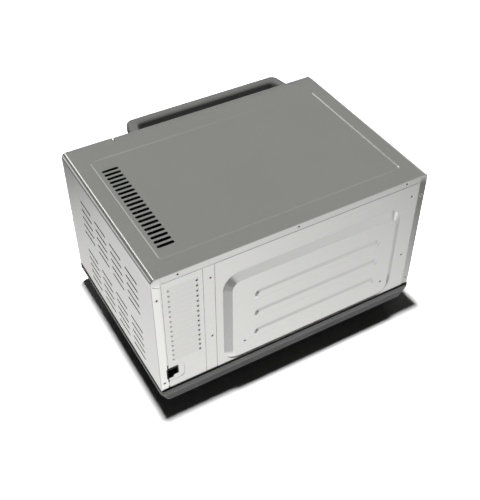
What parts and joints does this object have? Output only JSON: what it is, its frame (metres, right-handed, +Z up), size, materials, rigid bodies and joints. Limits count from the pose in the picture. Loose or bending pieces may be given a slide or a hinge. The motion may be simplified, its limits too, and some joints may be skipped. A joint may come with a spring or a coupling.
{
  "type": "reflow oven",
  "caption": "Bench-top reflow oven: sheet-metal case on a dark plinth, drop-down door with a bar handle, side control panel, vented cover and a pressed rear cover.",
  "frame": {"origin": "on the bench under the middle of the oven's bounding box", "axes": "+Z up, the door faces -Y, +X towards the control panel and electronics side, on the right of a person facing the door"},
  "size_m": [0.502, 0.402, 0.301],
  "materials": {
    "painted_cover": "satin metallic grey",
    "dark_plinth": "satin dark grey",
    "galvanised_steel": "zinc plated",
    "rubber": "matte",
    "rear_steel": "satin",
    "steel_screw": "satin",
    "painted_frame": "satin",
    "black_plastic": "matte",
    "stainless_steel": "brushed",
    "insulation_wool": "fibrous",
    "quartz_tube": "frosted",
    "ceramic": "unglazed ceramic",
    "polished_reflector": "polished",
    "motor_steel": "laminated",
    "clear_glass": "clear",
    "fascia": "satin black",
    "display_glass": "gloss",
    "circuit_board": "solder mask",
    "heatsink_aluminium": "extruded",
    "cable_sleeve": "satin",
    "door_metal": "satin metallic grey",
    "tinted_glass": "tinted",
    "seal_rubber": "matte",
    "handle_plastic": "satin dark grey",
    "chrome_wire": "polished",
    "knob_plastic": "satin",
    "button_plastic": "satin"
  },
  "bodies": {
    "case": {"outer_cover": "painted_cover", "base_pan": "dark_plinth", "chassis_plate": "galvanised_steel", "feet": "rubber", "rear_panel": "rear_steel", "electronics_rear_cover": "rear_steel", "cavity_rear_cover": "rear_steel", "rear_screws": "steel_screw", "front_frame": "painted_frame", "hinge_brackets": "galvanised_steel", "door_catch": "black_plastic", "cavity_liner": "stainless_steel", "cavity_insulation": "insulation_wool", "partition_wall": "galvanised_steel", "rack_guides": "stainless_steel", "upper_heater_tubes": "quartz_tube", "lower_heater_tubes": "quartz_tube", "heater_end_caps": "ceramic", "upper_reflector": "polished_reflector", "lower_reflector": "polished_reflector", "fan_guard": "stainless_steel", "convection_motor": "motor_steel", "motor_bracket": "galvanised_steel", "cavity_lamp": "ceramic", "lamp_lens": "clear_glass", "thermocouple_probe": "stainless_steel", "control_fascia": "fascia", "display_window": "display_glass", "display_module": "black_plastic", "control_board": "circuit_board", "knob_encoder": "motor_steel", "button_switches": "black_plastic", "rocker_housing": "black_plastic", "relay_heatsink": "heatsink_aluminium", "solid_state_relays": "black_plastic", "power_supply": "galvanised_steel", "terminal_block": "black_plastic", "power_inlet": "black_plastic", "cooling_fan_frame": "black_plastic", "wiring_harness": "cable_sleeve"},
    "door": {"door_frame": "door_metal", "hinge_pins": "stainless_steel", "door_outer_glass": "tinted_glass", "door_inner_panel": "stainless_steel", "door_inner_glass": "clear_glass", "door_seal": "seal_rubber", "door_handle": "handle_plastic", "handle_screws": "steel_screw", "door_striker": "stainless_steel"},
    "rack": {"wire_rack": "chrome_wire"},
    "convection_rotor": {"convection_impeller": "galvanised_steel"},
    "cooling_rotor": {"cooling_fan_rotor": "black_plastic"},
    "knob": {"control_knob": "knob_plastic"},
    "start_key": {"start_button": "button_plastic"},
    "stop_key": {"stop_button": "button_plastic"},
    "up_key": {"up_button": "button_plastic"},
    "down_key": {"down_button": "button_plastic"},
    "power_switch": {"power_rocker": "black_plastic"}
  },
  "joints": [
    {"name": "door_hinge", "type": "hinge", "parent": "case", "child": "door", "pos_m": [0, -0.15, 0.061], "axis": [1, 0, 0], "range_deg": [0, 90]},
    {"name": "rack_slide", "type": "slide", "parent": "case", "child": "rack", "axis": [0, -1, 0], "range_m": [0, 0.0945]},
    {"name": "convection_spin", "type": "hinge", "parent": "case", "child": "convection_rotor", "pos_m": [-0.047, 0.1302, 0.179], "axis": [0, 1, 0], "continuous": true},
    {"name": "cooling_spin", "type": "hinge", "parent": "case", "child": "cooling_rotor", "pos_m": [0.2, 0.1695, 0.214], "axis": [0, 1, 0], "continuous": true},
    {"name": "knob_turn", "type": "hinge", "parent": "case", "child": "knob", "pos_m": [0.204, -0.156, 0.186], "axis": [0, -1, 0], "continuous": true},
    {"name": "start_press", "type": "slide", "parent": "case", "child": "start_key", "axis": [0, 1, 0], "range_m": [0, 0.0015], "stiffness_N_per_m": 400},
    {"name": "stop_press", "type": "slide", "parent": "case", "child": "stop_key", "axis": [0, 1, 0], "range_m": [0, 0.0015], "stiffness_N_per_m": 400},
    {"name": "up_press", "type": "slide", "parent": "case", "child": "up_key", "axis": [0, 1, 0], "range_m": [0, 0.0015], "stiffness_N_per_m": 400},
    {"name": "down_press", "type": "slide", "parent": "case", "child": "down_key", "axis": [0, 1, 0], "range_m": [0, 0.0015], "stiffness_N_per_m": 400},
    {"name": "power_tilt", "type": "hinge", "parent": "case", "child": "power_switch", "pos_m": [0.204, -0.15, 0.08], "axis": [1, 0, 0], "range_deg": [-14, 0]}
  ],
  "couplings": [
    {"joint": "rack_slide", "follows": "door_hinge", "m_per_rad": 0.06}
  ]
}
